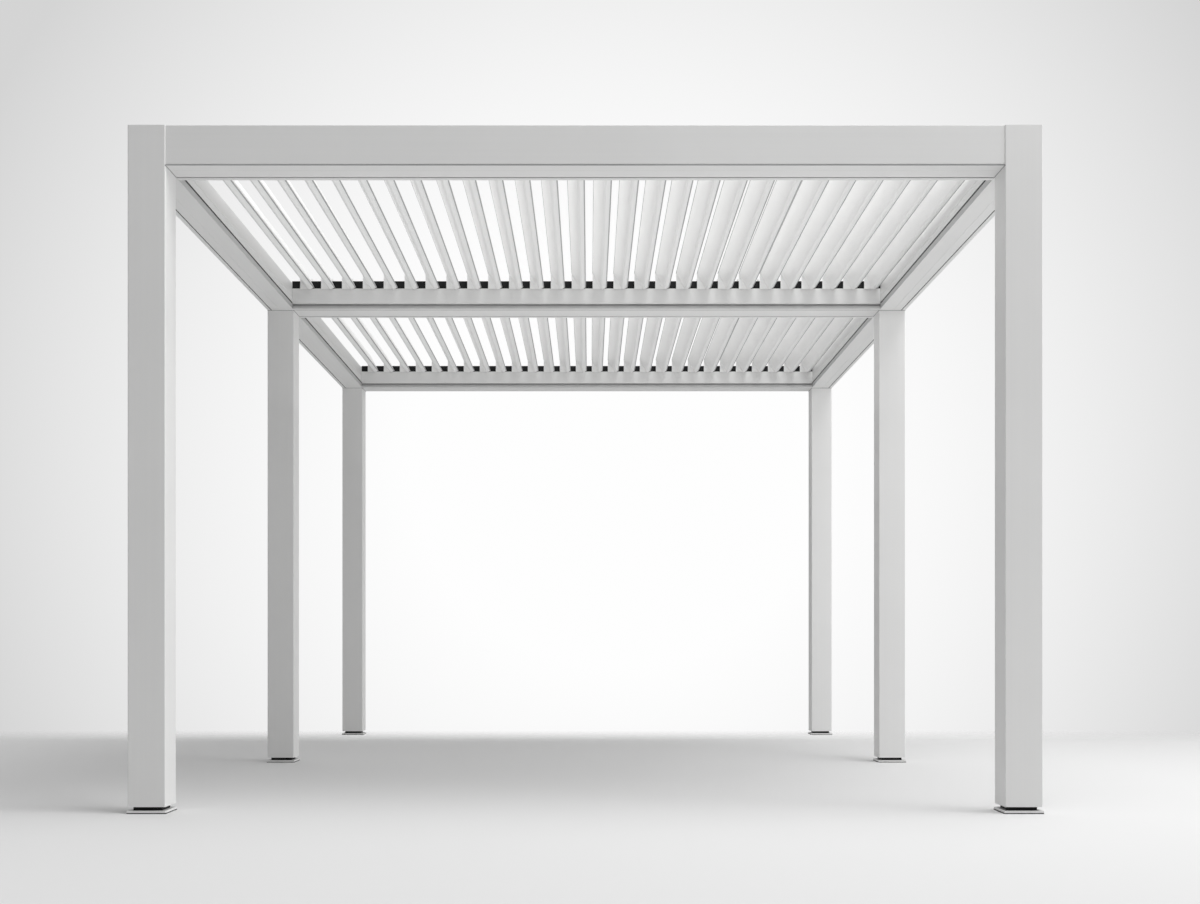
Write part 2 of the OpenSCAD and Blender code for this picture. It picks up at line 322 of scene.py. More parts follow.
def turned(radius, along, centre, axis, across, segments=20):
    """A profile turned about an axis: point(t, a) = centre + along(t) axis + radius(t) (cos a, sin a)."""
    centre, axis, across = (np.array(v, float) for v in (centre, axis, across))
    side = np.cross(axis, across)
    angle = np.linspace(0, 2 * math.pi, segments, endpoint=False)
    circle = np.cos(angle)[:, None] * across + np.sin(angle)[:, None] * side
    points = (centre + np.array(along)[:, None, None] * axis + np.array(radius)[:, None, None] * circle)
    return points.reshape(-1, 3), ring_faces(len(radius), segments).tolist()


def joined(parts):
    """Several (points, faces) parts as one pair, with the faces counted on."""
    points, faces, base = [], [], 0
    for part_points, part_faces in parts:
        points.append(part_points)
        faces += [[base + i for i in face] for face in part_faces]
        base += len(part_points)
    return np.concatenate(points), faces


def add_piece(name, parts, material, body):
    """Makes one mesh object of the parts, with outward faces, riding on a body."""
    points, faces = joined(parts)
    mesh = bpy.data.meshes.new(name)
    mesh.from_pydata(points.tolist(), [], faces)
    mesh.validate()
    mesh.materials.append(material)
    piece = bpy.data.objects.new(name, mesh)
    bpy.context.scene.collection.objects.link(piece)
    outward(mesh)
    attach(piece, body)
    return piece


def outward(mesh):
    """Turns every closed part of a mesh so that its faces point outwards."""
    work = bmesh.new()
    work.from_mesh(mesh)
    bmesh.ops.recalc_face_normals(work, faces=work.faces)
    work.to_mesh(mesh)
    work.free()


def rectangle(low, high):
    """The four corners of an upright rectangle, as a closed profile."""
    return np.array([(low[0], low[1]), (high[0], low[1]), (high[0], high[1]), (low[0], high[1])])


def round_profile(radius, count=10):
    """Points on a circle, as a closed profile."""
    angle = np.linspace(0, 2 * math.pi, count, endpoint=False)
    return radius * np.stack([np.cos(angle), np.sin(angle)], axis=1)


# Shader node groups.

def new_group(name, inputs, outputs):
    """An empty shader node group with named sockets, each given as (name, kind, default)."""
    group = bpy.data.node_groups.new(name, "ShaderNodeTree")
    for socket, kind, default in inputs:
        made = group.interface.new_socket(socket, in_out="INPUT", socket_type=kind)
        made.default_value = default
    for socket, kind in outputs:
        group.interface.new_socket(socket, in_out="OUTPUT", socket_type=kind)
    return group


def adder(tree):
    """A short way to add a node of a kind with settings to a tree."""
    def add(kind, **settings):
        node = tree.nodes.new(kind)
        for key, value in settings.items():
            setattr(node, key, value)
        return node
    return add


def math_node(tree, operation, first, second):
    """A Math node whose inputs are sockets or numbers; returns its output."""
    node = tree.nodes.new("ShaderNodeMath")
    node.operation = operation
    for index, value in enumerate((first, second)):
        if isinstance(value, (int, float)):
            node.inputs[index].default_value = value
        else:
            tree.links.new(value, node.inputs[index])
    return node.outputs[0]


def coat_group():
    """Powder coat: soft clouds of tone and the fine dimples of a baked coat, both from noise."""
    group = new_group(
        "powder_coat",
        [("Colour", "NodeSocketColor", (0.8, 0.8, 0.8, 1.0)), ("Clouds", "NodeSocketFloat", 0.03),
         ("Dimple Scale", "NodeSocketFloat", 420.0)],
        [("Colour", "NodeSocketColor"), ("Roughness", "NodeSocketFloat"), ("Height", "NodeSocketFloat")])
    add = adder(group)
    given, made = add("NodeGroupInput"), add("NodeGroupOutput")
    place = add("ShaderNodeTexCoord")
    clouds = add("ShaderNodeTexNoise")
    clouds.inputs["Scale"].default_value = 1.7
    clouds.inputs["Detail"].default_value = 4.0
    dimples = add("ShaderNodeTexNoise")
    dimples.inputs["Detail"].default_value = 2.0
    link = group.links.new
    link(place.outputs["Object"], clouds.inputs["Vector"])
    link(place.outputs["Object"], dimples.inputs["Vector"])
    link(given.outputs["Dimple Scale"], dimples.inputs["Scale"])
    centred = math_node(group, "SUBTRACT", clouds.outputs["Fac"], 0.5)
    swing = math_node(group, "MULTIPLY", centred, given.outputs["Clouds"])
    tone = math_node(group, "ADD", math_node(group, "MULTIPLY", swing, 2.0), 1.0)
    shade = add("ShaderNodeVectorMath", operation="SCALE")
    link(given.outputs["Colour"], shade.inputs[0])
    link(tone, shade.inputs["Scale"])
    link(shade.outputs[0], made.inputs["Colour"])
    rough = math_node(group, "ADD", math_node(group, "MULTIPLY", clouds.outputs["Fac"], 0.12), 0.34)
    link(rough, made.inputs["Roughness"])
    link(dimples.outputs["Fac"], made.inputs["Height"])
    return group


def draw_lines_group():
    """Draw lines of an extrusion: noise that is stretched along one direction by the given scales."""
    group = new_group(
        "draw_lines",
        [("Scales", "NodeSocketVector", (1.0, 1.0, 1.0)), ("Depth", "NodeSocketFloat", 0.02)],
        [("Height", "NodeSocketFloat"), ("Tone", "NodeSocketFloat")])
    add = adder(group)
    given, made = add("NodeGroupInput"), add("NodeGroupOutput")
    place = add("ShaderNodeTexCoord")
    stretch = add("ShaderNodeVectorMath", operation="MULTIPLY")
    lines = add("ShaderNodeTexNoise")
    lines.inputs["Scale"].default_value = 1.0
    lines.inputs["Detail"].default_value = 3.0
    link = group.links.new
    link(place.outputs["Object"], stretch.inputs[0])
    link(given.outputs["Scales"], stretch.inputs[1])
    link(stretch.outputs[0], lines.inputs["Vector"])
    link(lines.outputs["Fac"], made.inputs["Height"])
    centred = math_node(group, "SUBTRACT", lines.outputs["Fac"], 0.5)
    tone = math_node(group, "ADD", math_node(group, "MULTIPLY", centred, given.outputs["Depth"]), 1.0)
    link(tone, made.inputs["Tone"])
    return group


def dust_group():
    """Dust: a mask that is strong where a face looks up, broken by noise."""
    group = new_group("settled_dust", [("Amount", "NodeSocketFloat", 0.2)], [("Mask", "NodeSocketFloat")])
    add = adder(group)
    given, made = add("NodeGroupInput"), add("NodeGroupOutput")
    place = add("ShaderNodeTexCoord")
    facing = add("ShaderNodeNewGeometry")
    parts = add("ShaderNodeSeparateXYZ")
    patches = add("ShaderNodeTexNoise")
    patches.inputs["Scale"].default_value = 6.0
    patches.inputs["Detail"].default_value = 5.0
    link = group.links.new
    link(facing.outputs["Normal"], parts.inputs[0])
    link(place.outputs["Object"], patches.inputs["Vector"])
    upward = add("ShaderNodeMapRange")
    upward.inputs["From Min"].default_value = 0.45
    upward.inputs["From Max"].default_value = 0.95
    link(parts.outputs["Z"], upward.inputs["Value"])
    mask = math_node(group, "MULTIPLY", upward.outputs["Result"], patches.outputs["Fac"])
    link(math_node(group, "MULTIPLY", mask, given.outputs["Amount"]), made.inputs["Mask"])
    return group


def band_group():
    """A band between two heights: a mask that is one between Low and High and nought outside."""
    group = new_group(
        "height_band", [("Low", "NodeSocketFloat", 0.0), ("High", "NodeSocketFloat", 1.0)],
        [("Mask", "NodeSocketFloat")])
    add = adder(group)
    given, made = add("NodeGroupInput"), add("NodeGroupOutput")
    place = add("ShaderNodeTexCoord")
    parts = add("ShaderNodeSeparateXYZ")
    group.links.new(place.outputs["Object"], parts.inputs[0])
    above = math_node(group, "GREATER_THAN", parts.outputs["Z"], given.outputs["Low"])
    below = math_node(group, "LESS_THAN", parts.outputs["Z"], given.outputs["High"])
    group.links.new(math_node(group, "MULTIPLY", above, below), made.inputs["Mask"])
    return group


GROUPS = {}


def shared_group(name, builder):
    """The node group of that name, built once."""
    if name not in GROUPS:
        GROUPS[name] = builder()
    return GROUPS[name]


def place_group(tree, name, builder, **values):
    """A group node in a tree with its inputs set."""
    node = tree.nodes.new("ShaderNodeGroup")
    node.node_tree = shared_group(name, builder)
    for key, value in values.items():
        node.inputs[key.replace("_", " ")].default_value = value
    return node


def new_material(name):
    """A material with an empty Principled shader; returns the material, its tree and the shader."""
    material = bpy.data.materials.new(name)
    material.use_nodes = True
    tree = material.node_tree
    shader = next(n for n in tree.nodes if n.type == "BSDF_PRINCIPLED")
    return material, tree, shader


def bump_into(tree, shader, height, strength, distance):
    """Feeds a height into the shader's Normal through a Bump node."""
    bump = tree.nodes.new("ShaderNodeBump")
    bump.inputs["Strength"].default_value = strength
    bump.inputs["Distance"].default_value = distance
    tree.links.new(height, bump.inputs["Height"])
    tree.links.new(bump.outputs["Normal"], shader.inputs["Normal"])


def rgba(colour):
    """A colour with full cover added."""
    return (*colour, 1.0)


def coated(name, colour, scales, clouds=0.03, dust=0.25, lip=None):
    """White powder coat on an extrusion: coat, draw lines along it, dust, and a grey band of painted shade
    on the lip where given.
    """
    colours = bpy.context.scene.pergola_colours
    material, tree, shader = new_material(name)
    coat = place_group(tree, "powder_coat", coat_group, Colour=rgba(colour), Clouds=clouds)
    lines = place_group(tree, "draw_lines", draw_lines_group, Scales=scales, Depth=0.035)
    settled = place_group(tree, "settled_dust", dust_group, Amount=dust)
    link = tree.links.new
    toned = tree.nodes.new("ShaderNodeVectorMath")
    toned.operation = "SCALE"
    link(coat.outputs["Colour"], toned.inputs[0])
    link(lines.outputs["Tone"], toned.inputs["Scale"])
    finish = toned.outputs[0]
    # Painted shade: a grey band over the lip's heights stands in for the shade on the lip.
    if lip is not None:
        band = place_group(tree, "height_band", band_group, Low=lip[0], High=lip[1])
        edge = tree.nodes.new("ShaderNodeMix")
        edge.data_type = "RGBA"
        edge.inputs["B"].default_value = rgba(colours.lip_shade_grey)
        link(band.outputs["Mask"], edge.inputs["Factor"])
        link(finish, edge.inputs["A"])
        finish = edge.outputs["Result"]
    dusty = tree.nodes.new("ShaderNodeMix")
    dusty.data_type = "RGBA"
    dusty.inputs["B"].default_value = rgba(colours.dust)
    link(settled.outputs["Mask"], dusty.inputs["Factor"])
    link(finish, dusty.inputs["A"])
    link(dusty.outputs["Result"], shader.inputs["Base Color"])
    dull = math_node(tree, "ADD", coat.outputs["Roughness"], settled.outputs["Mask"])
    link(dull, shader.inputs["Roughness"])
    relief = math_node(tree, "ADD", math_node(tree, "MULTIPLY", coat.outputs["Height"], 0.35),
                       lines.outputs["Height"])
    bump_into(tree, shader, relief, 0.06, 0.001)
    return material


def moulded(name, colour, grain, roughness):
    """Dark moulded plastic, rubber or coated steel: a fine grain that breaks tone, gloss and height."""
    material, tree, shader = new_material(name)
    coat = place_group(tree, "powder_coat", coat_group, Colour=rgba(colour), Clouds=0.25, Dimple_Scale=grain)
    link = tree.links.new
    link(coat.outputs["Colour"], shader.inputs["Base Color"])
    gloss = math_node(tree, "ADD", math_node(tree, "MULTIPLY", coat.outputs["Height"], 0.15), roughness)
    link(gloss, shader.inputs["Roughness"])
    shader.inputs["Specular IOR Level"].default_value = 0.2
    bump_into(tree, shader, coat.outputs["Height"], 0.25, 0.0006)
    return material


def soften(node, width):
    """Merges a CAD node's loose triangles and rounds its edges, by modifiers alone."""
    weld = node.modifiers.new("weld", "WELD")
    weld.merge_threshold = 0.00002
    bevel = node.modifiers.new("soft edges", "BEVEL")
    bevel.width = width
    bevel.segments = 2
    bevel.limit_method = "ANGLE"
    bevel.angle_limit = math.radians(40)
    bevel.harden_normals = False


def dress(names, material, edge=None):
    """Gives CAD nodes a material, and rounded edges where a width is given."""
    for name in names:
        node = NODES[name]
        node.data.materials.clear()
        node.data.materials.append(material)
        if edge:
            soften(node, edge)


# Operators, one for each piece or group of like pieces.

class PERGOLA_OT_frame_finish(bpy.types.Operator):
    """Powder coat on posts, beams, gutters, caps and base plates"""
    bl_idname = "pergola.frame_finish"
    bl_label = "Finish the frame"

    def execute(self, context):
        sizes, colours = context.scene.pergola_sizes, context.scene.pergola_colours
        white = tuple(colours.frame_white)
        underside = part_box("front_gutter")[0].z
        lip_low = underside + 0.0004
        upright = coated("post_coat", white, UPRIGHT)
        along_x = coated("cross_beam_coat", white, ALONG_X)
        along_y = coated("side_beam_coat", white, ALONG_Y)
        # The gutter coats carry the grey band of painted shade on their lips.
        gutter_x = coated("cross_gutter_coat", white, ALONG_X, dust=0.5,
                          lip=(lip_low, lip_low + sizes.cross_lip_h))
        gutter_y = coated("side_gutter_coat", white, ALONG_Y, dust=0.5,
                          lip=(lip_low, lip_low + sizes.side_lip_h))
        plate = coated("plate_coat", white, SMALL_PLATE, clouds=0.05)
        dress(POSTS + ["post_caps"], upright)
        dress(CROSS_BEAMS, along_x, BEAM_EDGE)
        dress(SIDE_BEAMS, along_y, BEAM_EDGE)
        dress(CROSS_GUTTERS, gutter_x, GUTTER_EDGE)
        dress(SIDE_GUTTERS, gutter_y, GUTTER_EDGE)
        dress(["base_plates"], plate)
        return {"FINISHED"}


class PERGOLA_OT_dark_parts_finish(bpy.types.Operator):
    """Black plastic on the pivot rails, and near-black painted shade on the sleeves in the gap under the
    posts
    """
    bl_idname = "pergola.dark_parts_finish"
    bl_label = "Finish the rails and sleeves"

    def execute(self, context):
        colours = context.scene.pergola_colours
        dress(RAILS, moulded("rail_plastic", tuple(colours.rail_black), 700.0, 0.5))
        # Painted shade: the sleeves are near-black to stand in for the shade in the gap under each post.
        dress(["post_sleeves"], moulded("sleeve_coat", tuple(colours.sleeve_dark), 300.0, 0.6))
        return {"FINISHED"}


class PERGOLA_OT_louvre_finish(bpy.types.Operator):
    """Powder coat on the louvres"""
    bl_idname = "pergola.louvre_finish"
    bl_label = "Finish the louvres"

    def execute(self, context):
        colours = context.scene.pergola_colours
        coat = coated("louvre_coat", tuple(colours.louvre_white), ALONG_Y, dust=0.35)
        dress(LOUVRES, coat, LOUVRE_EDGE)
        return {"FINISHED"}


def bay_spans():
    """The louvres' length in each bay as (low Y, high Y) of the blades."""
    sizes = bpy.context.scene.pergola_sizes
    gap = sizes.end_gap
    seat = sizes.pin_seat
    low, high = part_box(LOUVRES[0])
    middle_low, middle_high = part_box("middle_gutters")
    return [(low.y + seat + gap, middle_low.y - gap), (middle_high.y + gap, high.y - seat - gap)]


def tilted(profile, axis):
    """Level louvre points (across, up) turned by the tilt about the louvre's axis, as points in X and Z."""
    tilt = bpy.context.scene.pergola_sizes.tilt
    across = profile[:, 0] * math.cos(tilt) + profile[:, 1] * math.sin(tilt)
    up = -profile[:, 0] * math.sin(tilt) + profile[:, 1] * math.cos(tilt)
    return np.stack([axis[0] + across, axis[2] + up], axis=1)


def along_bays(profile_xz, ends=None):
    """A profile in X and Z carried along Y through both bays, or through the given (low, high) spans."""
    return [carried(profile_xz, (0, low, 0), (0, high, 0), (1, 0, 0), (0, 0, 1))
            for low, high in (ends or bay_spans())]


class PERGOLA_OT_louvre_edge_seals(bpy.types.Operator):
    """Soft seals along every louvre: a strip on its nose and a bead on its lower tail corner, in a grey that
    is painted shade along those edges
    """
    bl_idname = "pergola.louvre_edge_seals"
    bl_label = "Add louvre edge seals"

    def execute(self, context):
        sizes, colours = context.scene.pergola_sizes, context.scene.pergola_colours
        # Painted shade: the grey of the nose strips and tail beads stands in for the shade lines along the
        # louvre edges.
        strip_finish = moulded("edge_seal_rubber", tuple(colours.edge_shade_grey), 500.0, 0.55)
        inset = sizes.edge_r / 2
        corner = (sizes.tail_step - sizes.tail_reach + inset, inset - sizes.belly)
        bead = round_profile(sizes.edge_r) + np.array(corner)
        strip = rectangle((sizes.nose_reach, sizes.crown - sizes.strip_h),
                          (sizes.nose_reach + sizes.strip_t, sizes.crown))
        for name in LOUVRES:
            parts = along_bays(tilted(bead, AXES[name])) + along_bays(tilted(strip, AXES[name]))
            add_piece(name + "_edge_seals", parts, strip_finish, name)
        return {"FINISHED"}


class PERGOLA_OT_louvre_end_plates(bpy.types.Operator):
    """Thin plates that close both ends of every louvre blade, with a cheek below the blade, in a coat
    lighter than the louvres' as painted light
    """
    bl_idname = "pergola.louvre_end_plates"
    bl_label = "Add louvre end plates"

    def execute(self, context):
        sizes, colours = context.scene.pergola_sizes, context.scene.pergola_colours
        # Painted light: the end plates get the lighter white that stands in for light falling on them.
        coat = coated("end_plate_coat", tuple(colours.cheek_lit_white), SMALL_PLATE)
        inset = 0.0006
        low, high = inset - sizes.belly, sizes.crown - inset
        tail, nose = inset - sizes.tail_reach, sizes.nose_reach - inset
        step, lip_low = tail + sizes.tail_step, sizes.crown - sizes.tail_t + inset
        outline = np.array([
            (tail, lip_low), (tail, high), (nose, high), (nose, sizes.nose_cut - sizes.belly),
            (nose - sizes.nose_cut, low), (sizes.cheek_in, -sizes.cheek_drop), (step, low), (step, lip_low)])
        spans = [(y - s, y) if s > 0 else (y, y - s)
                 for bay in bay_spans() for y, s in ((bay[0], sizes.plate_t), (bay[1], -sizes.plate_t))]
        for name in LOUVRES:
            parts = along_bays(tilted(outline, AXES[name]), spans)
            add_piece(name + "_end_plates", parts, coat, name)
        return {"FINISHED"}


class PERGOLA_OT_pin_bushes(bpy.types.Operator):
    """Flanged bushes where the louvre pins enter the rails"""
    bl_idname = "pergola.pin_bushes"
    bl_label = "Add pin bushes"

    def execute(self, context):
        sizes, colours = context.scene.pergola_sizes, context.scene.pergola_colours
        plastic = moulded("bush_plastic", tuple(colours.rail_black), 900.0, 0.4)
        inner, outer, deep = sizes.pin_r * 1.03, sizes.bush_r, sizes.bush_t
        round_off = deep * 0.35
        radius = [inner, outer - round_off, outer, outer, inner, inner]
        along = [deep, deep, deep - round_off, 0.0, 0.0, deep]
        parts = []
        for low, high in bay_spans():
            for y, way in ((low - sizes.end_gap, 1), (high + sizes.end_gap, -1)):
                parts += [turned(radius, along, (axis[0], y, axis[2]), (0, way, 0), (1, 0, 0))
                          for axis in AXES.values()]
        add_piece("pin_bushes", parts, plastic, FRAME_BODY)
        return {"FINISHED"}


class PERGOLA_OT_groove_seals(bpy.types.Operator):
    """Strips in the shadow grooves and underside seams of the gutters, coloured as painted shade in those
    grooves and seams
    """
    bl_idname = "pergola.groove_seals"
    bl_label = "Add groove and seam seals"

    def execute(self, context):
        sizes, colours = context.scene.pergola_sizes, context.scene.pergola_colours
        # Painted shade: grey strips at the back of the cross grooves and in the seams stand in for the shade
        # inside them.
        strip_finish = moulded("cross_seal_rubber", tuple(colours.seal_grey_and_groove_shade), *RUBBER)
        parts = []
        for y, way, low, high in cross_faces():
            groove_low = low.z + sizes.cross_lip_h
            back = y - way * sizes.groove_d
            groove = rectangle((0.0, groove_low), (way * sizes.seal_t, groove_low + sizes.cross_groove_h))
            parts.append(carried(groove, (low.x, back, 0), (high.x, back, 0), (0, 1, 0), (0, 0, 1)))
            seam_y = y - way * sizes.lip_reach
            seam = rectangle((0.0, low.z + sizes.seam_d - sizes.seal_t),
                             (way * sizes.seam_w, low.z + sizes.seam_d))
            parts.append(carried(seam, (low.x, seam_y, 0), (high.x, seam_y, 0), (0, 1, 0), (0, 0, 1)))
        add_piece("cross_groove_seals", parts, strip_finish, FRAME_BODY)
        # Painted shade: near-black strips near the mouth of the side grooves stand in for the shade inside
        # them.
        strip_finish = moulded("side_seal_rubber", tuple(colours.groove_shade_dark), *RUBBER)
        parts = []
        for x, way, low, high in side_faces():
            groove_low = low.z + sizes.side_lip_h
            back = x - way * sizes.groove_d
            depth = sizes.groove_d - sizes.side_seal_in
            groove = rectangle((0.0, groove_low), (way * depth, groove_low + sizes.side_groove_h))
            parts.append(carried(groove, (back, low.y, 0), (back, high.y, 0), (1, 0, 0), (0, 0, 1)))
        add_piece("side_groove_seals", parts, strip_finish, FRAME_BODY)
        return {"FINISHED"}


def cross_faces():
    """Inner faces of the cross gutters as (Y of the face, way that it looks, low corner, high corner)."""
    front, rear, middle = (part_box(name) for name in ("front_gutter", "rear_gutter", "middle_gutters"))
    return [(front[1].y, 1, *front), (rear[0].y, -1, *rear),
            (middle[0].y, -1, *middle), (middle[1].y, 1, *middle)]


def side_faces():
    """Inner faces of the side gutters as (X of the face, way that it looks, low corner, high corner)."""
    left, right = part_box("left_gutters"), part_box("right_gutters")
    return [(left[1].x, 1, *left), (right[0].x, -1, *right)]


class PERGOLA_OT_line_seals(bpy.types.Operator):
    """Strips in the slots below the side beams and in the shadow lines of the front and rear beams, coloured
    as painted shade in those slots and rebates
    """
    bl_idname = "pergola.line_seals"
    bl_label = "Add line seals"

    def execute(self, context):
        sizes, colours = context.scene.pergola_sizes, context.scene.pergola_colours
        # Painted shade: near-black strips in the side beam slots stand in for the shade inside the slots.
        strip_finish = moulded("slot_seal_rubber", tuple(colours.groove_shade_dark), *RUBBER)
        show = 0.001
        parts = []
        for name in SIDE_BEAMS:
            low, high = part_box(name)
            face, way = (low.x, 1) if low.x < 0 else (high.x, -1)
            start = face + way * sizes.slot_in
            strip = rectangle((0.0, low.z + show), (way * sizes.slot_w, low.z + show + sizes.seal_t))
            parts.append(carried(strip, (start, low.y, 0), (start, high.y, 0), (1, 0, 0), (0, 0, 1)))
        add_piece("slot_seals", parts, strip_finish, FRAME_BODY)
        # Painted shade: grey strips in the rebates stand in for the shadow lines of the front and rear
        # beams.
        strip_finish = moulded("line_seal_rubber", tuple(colours.edge_shade_grey), *RUBBER)
        parts = []
        for name in ("front_beam", "rear_beam"):
            low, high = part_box(name)
            face, way = (low.y, 1) if low.y < 0 else (high.y, -1)
            start = face + way * sizes.shadow_d / 2
            strip = rectangle((0.0, low.z + show), (way * sizes.shadow_d / 2, low.z + sizes.shadow_h))
            parts.append(carried(strip, (low.x, start, 0), (high.x, start, 0), (0, 1, 0), (0, 0, 1)))
        add_piece("line_seals", parts, strip_finish, FRAME_BODY)
        return {"FINISHED"}


class PERGOLA_OT_joint_beads(bpy.types.Operator):
    """Beads in the corners where the undersides of the beams meet the posts"""
    bl_idname = "pergola.joint_beads"
    bl_label = "Add joint beads"

    def execute(self, context):
        sizes, colours = context.scene.pergola_sizes, context.scene.pergola_colours
        strip_finish = moulded("bead_rubber", tuple(colours.seal_grey_and_groove_shade), *RUBBER)
        bead = round_profile(sizes.bead_r, 8)
        parts = []
        for name in CROSS_BEAMS:
            post_low, post_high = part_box(name.replace("beam", "left_post"))
            low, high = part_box(name)
            for x in (low.x, high.x):
                parts.append(carried(bead, (x, post_low.y, low.z), (x, post_high.y, low.z),
                                     (1, 0, 0), (0, 0, 1)))
        for name in SIDE_BEAMS:
            post_low, post_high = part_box(name.split("_")[1] + "_" + name.split("_")[0] + "_post")
            low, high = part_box(name)
            for y in (low.y, high.y):
                parts.append(carried(bead, (post_low.x, y, low.z), (post_high.x, y, low.z),
                                     (0, 1, 0), (0, 0, 1)))
        add_piece("joint_beads", parts, strip_finish, FRAME_BODY)
        return {"FINISHED"}


def square_ring(inner, outer, low, high, centre):
    """A flat square ring: point(t, k) = corner k of a square whose half side and height go round the
    ring's own section, t running over its four corners and back to the first."""
    half = np.array([inner, outer, outer, inner, inner])
    height = np.array([low, low, high, high, low])
    corners = np.array([(-1, -1), (1, -1), (1, 1), (-1, 1)])
    flat = centre + half[:, None, None] * corners
    points = np.concatenate([flat, np.broadcast_to(height[:, None, None], (5, 4, 1))], axis=2)
    return points.reshape(-1, 3), ring_faces(5, 4).tolist()


class PERGOLA_OT_plate_rims(bpy.types.Operator):
    """Thin near-black rims round the foot of the base plates, as painted contact shadow where the plates
    meet the floor
    """
    bl_idname = "pergola.plate_rims"
    bl_label = "Add base plate rims"

    def execute(self, context):
        sizes, colours = context.scene.pergola_sizes, context.scene.pergola_colours
        # Painted shadow: the rims' near-black stands in for the contact shadow under the plates.
        strip_finish = moulded("rim_rubber", tuple(colours.sleeve_dark), *RUBBER)
        low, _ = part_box("base_plates")
        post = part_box("front_left_post")
        half = (post[0].x + post[1].x) / 2 - low.x
        middles = [(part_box(name)[0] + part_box(name)[1]) / 2 for name in POSTS]
        parts = [square_ring(half - sizes.rim_out, half + sizes.rim_out, low.z, low.z + sizes.rim_h,
                             np.array((middle.x, middle.y))) for middle in middles]
        add_piece("plate_rims", parts, strip_finish, FRAME_BODY)
        return {"FINISHED"}


# Stage: floor, backdrop, light and camera.

def floor_disc(radius, rings=24, spokes=96):
    """A flat disc: point(t, a) = radius t^2 (cos a, sin a), closed at its middle."""
    reach = radius * np.linspace(0, 1, rings + 1)[1:] ** 2
    angle = np.linspace(0, 2 * math.pi, spokes, endpoint=False)
    points = np.stack([reach[:, None] * np.cos(angle), reach[:, None] * np.sin(angle),
                       np.zeros((rings, spokes))], axis=2).reshape(-1, 3)
    hub = list(range(spokes))
    return points, ring_faces(rings, spokes)[:, ::-1].tolist() + [hub]


def ramp(tree, value, low, high, dark, bright, kind="SMOOTHSTEP"):
    """A step from dark to bright while the value goes from low to high; returns its output."""
    node = tree.nodes.new("ShaderNodeMapRange")
    node.interpolation_type = kind
    for name, number in (("From Min", low), ("From Max", high), ("To Min", dark), ("To Max", bright)):
        node.inputs[name].default_value = number
    tree.links.new(value, node.inputs["Value"])
    return node.outputs["Result"]


def floor_material(stage):
    """Matt floor that the camera sees fade with distance, so that it runs into the backdrop."""
    material = bpy.data.materials.new("studio_floor")
    material.use_nodes = True
    tree = material.node_tree
    tree.nodes.clear()
    add, link = adder(tree), tree.links.new
    place = add("ShaderNodeTexCoord")
    parts = add("ShaderNodeSeparateXYZ")
    link(place.outputs["Object"], parts.inputs[0])
    fade = ramp(tree, parts.outputs["Y"], stage.fade_from, stage.fade_to, 0.0, 1.0)
    facing, path = add("ShaderNodeNewGeometry"), add("ShaderNodeLightPath")
    unseen = math_node(tree, "MAXIMUM", fade, facing.outputs["Backfacing"])
    matt, clear = add("ShaderNodeBsdfDiffuse"), add("ShaderNodeBsdfTransparent")
    matt.inputs["Color"].default_value = rgba(stage.floor_white)
    whole = add("ShaderNodeMixShader")
    link(math_node(tree, "MULTIPLY", unseen, path.outputs["Is Camera Ray"]), whole.inputs["Fac"])
    link(matt.outputs[0], whole.inputs[1])
    link(clear.outputs[0], whole.inputs[2])
    link(whole.outputs[0], add("ShaderNodeOutputMaterial").inputs["Surface"])
    return material


def studio_world(stage):
    """Pale backdrop, brightest straight behind the object, and soft light weighed by its direction."""
    world = bpy.data.worlds.new("studio")
    bpy.context.scene.world = world
    world.use_nodes = True
    tree = world.node_tree
    background = next(n for n in tree.nodes if n.type == "BACKGROUND")
    add, link = adder(tree), tree.links.new
    place, parts = add("ShaderNodeTexCoord"), add("ShaderNodeSeparateXYZ")
    link(place.outputs["Generated"], parts.inputs[0])
    ahead = add("ShaderNodeVectorMath", operation="DOT_PRODUCT")
    ahead.inputs[1].default_value = BACKDROP_MIDDLE
    link(place.outputs["Generated"], ahead.inputs[0])
    seen = ramp(tree, ahead.outputs["Value"], *BACKDROP_RANGE, stage.backdrop_rim, stage.backdrop, "LINEAR")
    unseen = stage.from_all
    for axis, strength in (("X", stage.from_right), ("Y", stage.from_rear), ("Z", stage.from_above)):
        lobe = ramp(tree, parts.outputs[axis], 0.0, 1.0, 0.0, strength)
        unseen = math_node(tree, "ADD", unseen, lobe)
    path, chosen = add("ShaderNodeLightPath"), add("ShaderNodeMix")
    link(path.outputs["Is Camera Ray"], chosen.inputs["Factor"])
    link(unseen, chosen.inputs["A"])
    link(seen, chosen.inputs["B"])
    link(chosen.outputs["Result"], background.inputs["Strength"])
    background.inputs["Color"].default_value = (1.0, 1.0, 1.0, 1.0)


def area_light(name, power, size, place, target):
    """A soft rectangular panel that looks at a point."""
    data = bpy.data.lights.new(name, "AREA")
    data.shape = "RECTANGLE"
    data.size, data.size_y = size
    data.energy = power
    light = bpy.data.objects.new(name, data)
    bpy.context.scene.collection.objects.link(light)
    light.location = place
    light.visible_camera = False
    light.rotation_euler = (Vector(target) - Vector(place)).to_track_quat("-Z", "Y").to_euler()


